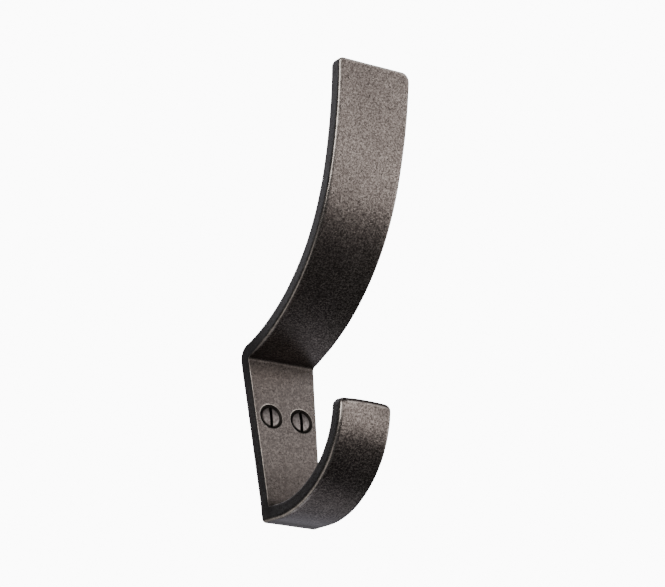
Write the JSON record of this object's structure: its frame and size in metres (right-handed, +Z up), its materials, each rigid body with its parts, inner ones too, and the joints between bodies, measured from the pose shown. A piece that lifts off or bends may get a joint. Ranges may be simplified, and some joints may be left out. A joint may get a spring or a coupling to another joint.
{
  "type": "hat and coat hook",
  "caption": "Cast wall hook with a long swept upper arm for a hat, a short cup below for a coat loop, and slotted countersunk wood screws through its plate.",
  "frame": {"origin": "on the plate's back face, midway between the two screws", "axes": "+X across the hook to the right seen from the room, +Y into the wall, +Z up towards the upper arm's tip"},
  "size_m": [0.025, 0.0903, 0.1224],
  "materials": {
    "cast_strap": "dark antiqued casting, mottled brown grey, with edges rubbed to bare metal",
    "screw_steel": "aged steel, dull, darker in the slot"
  },
  "bodies": {
    "root": {"hook_body": "cast_strap", "screw_left": "screw_steel", "screw_right": "screw_steel"}
  },
  "joints": []
}
